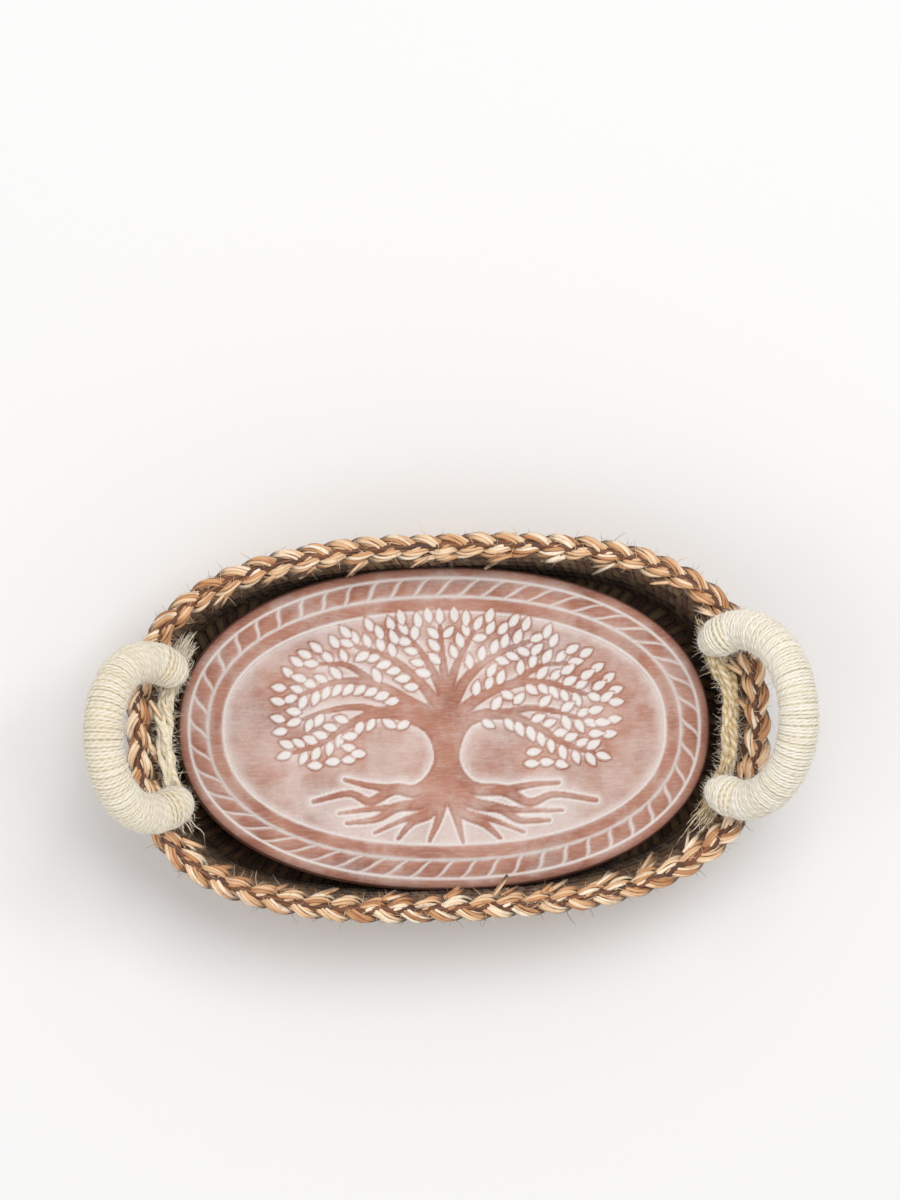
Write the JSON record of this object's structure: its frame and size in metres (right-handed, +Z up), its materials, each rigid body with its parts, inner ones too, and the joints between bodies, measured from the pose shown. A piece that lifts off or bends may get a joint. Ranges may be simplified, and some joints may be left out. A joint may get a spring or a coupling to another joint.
{
  "type": "bread warming basket",
  "caption": "Oval bread warmer: a relief-pressed terracotta stone with a rope border lies in a coiled grass basket with a plaited rim and yarn-wrapped rope handles.",
  "frame": {"origin": "centre of the basket's flat underside", "axes": "+X along the length to the right handle, +Y across the basket, +Z up"},
  "size_m": [0.3672, 0.1964, 0.1399],
  "materials": {
    "clay": "matt fired terracotta with a pale wash rubbed into the relief",
    "rim_grass": "plaited dry grass, satin blades",
    "wall_grass": "plaited dry grass, darker inside",
    "floor_grass": "plaited dry grass, matt",
    "rope_core": "twisted jute rope",
    "yarn": "cream jute yarn, hairy",
    "frayed_rope": "unwrapped jute rope with frayed ends"
  },
  "bodies": {
    "basket": {"floor_core": "floor_grass", "floor_course_1": "floor_grass", "floor_course_2": "floor_grass", "floor_course_3": "floor_grass", "floor_course_4": "floor_grass", "floor_course_5": "floor_grass", "floor_course_6": "floor_grass", "wall_course_1": "wall_grass", "wall_course_2": "wall_grass", "wall_course_3": "wall_grass", "wall_course_4": "wall_grass", "wall_course_5": "wall_grass", "wall_course_6": "wall_grass", "rim_braid": "rim_grass", "handle_left_end_front": "frayed_rope", "handle_left_end_back": "frayed_rope", "handle_left_tie": "frayed_rope", "handle_right_end_front": "frayed_rope", "handle_right_end_back": "frayed_rope", "handle_right_tie": "frayed_rope"},
    "stone": {"warming_stone": "clay"},
    "handle_left": {"handle_left_core": "rope_core", "handle_left_wrap": "yarn"},
    "handle_right": {"handle_right_core": "rope_core", "handle_right_wrap": "yarn"}
  },
  "joints": [
    {"name": "stone_lift", "type": "slide", "parent": "basket", "child": "stone", "axis": [0, 0, 1], "range_m": [0, 0.12]},
    {"name": "handle_left_swing", "type": "hinge", "parent": "basket", "child": "handle_left", "pos_m": [-0.14808, 0, 0.09315], "axis": [0, -1, 0], "range_deg": [-30, 45]},
    {"name": "handle_right_swing", "type": "hinge", "parent": "basket", "child": "handle_right", "pos_m": [0.14561, 0, 0.09315], "axis": [0, 1, 0], "range_deg": [-30, 45]}
  ]
}
